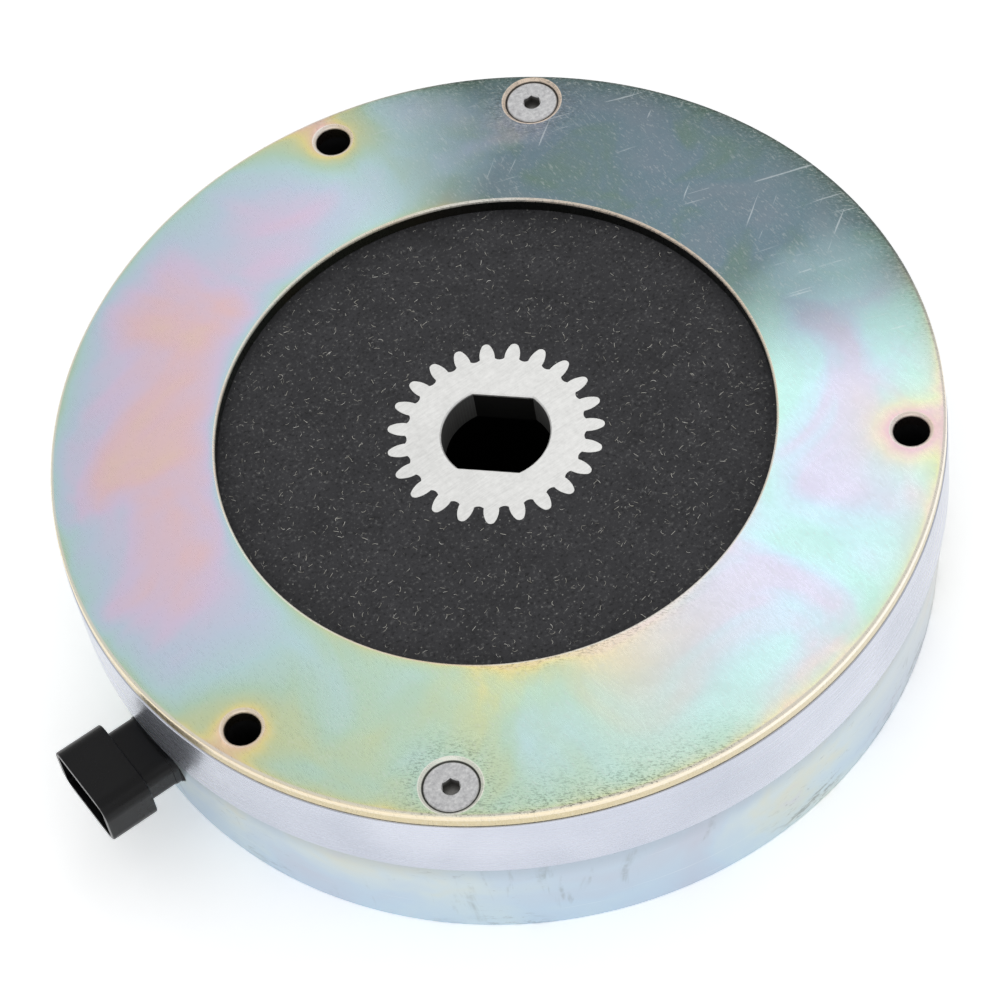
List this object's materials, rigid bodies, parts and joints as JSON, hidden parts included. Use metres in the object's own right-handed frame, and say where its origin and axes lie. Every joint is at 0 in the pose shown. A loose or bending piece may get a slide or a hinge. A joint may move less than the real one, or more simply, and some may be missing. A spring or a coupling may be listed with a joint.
{
  "type": "electromagnetic motor brake",
  "caption": "Spring-applied round motor brake: ring mounting plate, friction disc on a splined hub, armature and coil in a zinc-plated body with a side connector.",
  "frame": {"origin": "centre of the closed back face, which it lies on", "axes": "+Z along the shaft axis, out of the mounting plate towards the motor; the connector points to -X"},
  "size_m": [0.1806, 0.1656, 0.0444],
  "materials": {
    "yellow_zinc": "iridescent yellow zinc passivation on steel",
    "bright_band": "mirror-bright rolled strip",
    "clear_zinc": "clear blue zinc plating, slightly scuffed",
    "bobbin_plastic": "natural nylon",
    "copper_wire": "enamelled copper",
    "potting_resin": "black epoxy",
    "lead_insulation": "red silicone insulation",
    "connector_plastic": "black moulded nylon, satin",
    "gasket_rubber": "black rubber",
    "contact_brass": "tinned brass",
    "ground_steel": "ground steel",
    "hub_steel": "fine-machined bright steel",
    "carrier_steel": "blanked steel",
    "friction_lining": "moulded friction material with short brass fibres",
    "sleeve_steel": "blackened steel",
    "screw_steel": "bright zinc-plated steel",
    "spring_steel": "oiled spring steel"
  },
  "bodies": {
    "housing": {"mounting_plate": "yellow_zinc", "dust_band": "bright_band", "magnet_body": "clear_zinc", "coil_bobbin": "bobbin_plastic", "coil_winding": "copper_wire", "coil_potting": "potting_resin", "coil_leads": "lead_insulation", "connector_housing": "connector_plastic", "connector_gasket": "gasket_rubber", "connector_pin_1": "contact_brass", "connector_pin_2": "contact_brass", "mounting_sleeve_1": "sleeve_steel", "mounting_sleeve_2": "sleeve_steel", "mounting_sleeve_3": "sleeve_steel", "screw_sleeve_1": "sleeve_steel", "screw_sleeve_2": "sleeve_steel", "plate_screw_1": "screw_steel", "plate_screw_2": "screw_steel", "torque_spring_1": "spring_steel", "torque_spring_2": "spring_steel", "torque_spring_3": "spring_steel", "torque_spring_4": "spring_steel", "torque_spring_5": "spring_steel", "torque_spring_6": "spring_steel"},
    "armature": {"armature_plate": "ground_steel"},
    "hub": {"splined_hub": "hub_steel"},
    "friction_disc": {"disc_carrier": "carrier_steel", "rear_lining": "friction_lining", "front_lining": "friction_lining"}
  },
  "joints": [
    {"name": "armature_release", "type": "slide", "parent": "housing", "child": "armature", "axis": [0, 0, -1], "range_m": [0, 0.0004], "stiffness_N_per_m": 6000, "springref_m": -0.004, "deforming": ["torque_spring_1", "torque_spring_2", "torque_spring_3", "torque_spring_4", "torque_spring_5", "torque_spring_6"]},
    {"name": "hub_spin", "type": "hinge", "parent": "housing", "child": "hub", "pos_m": [0, 0, 0], "axis": [0, 0, 1], "continuous": true},
    {"name": "disc_float", "type": "slide", "parent": "hub", "child": "friction_disc", "axis": [0, 0, -1], "range_m": [0, 0.0002]}
  ],
  "couplings": [
    {"joint": "disc_float", "follows": "armature_release", "ratio": 0.5}
  ]
}
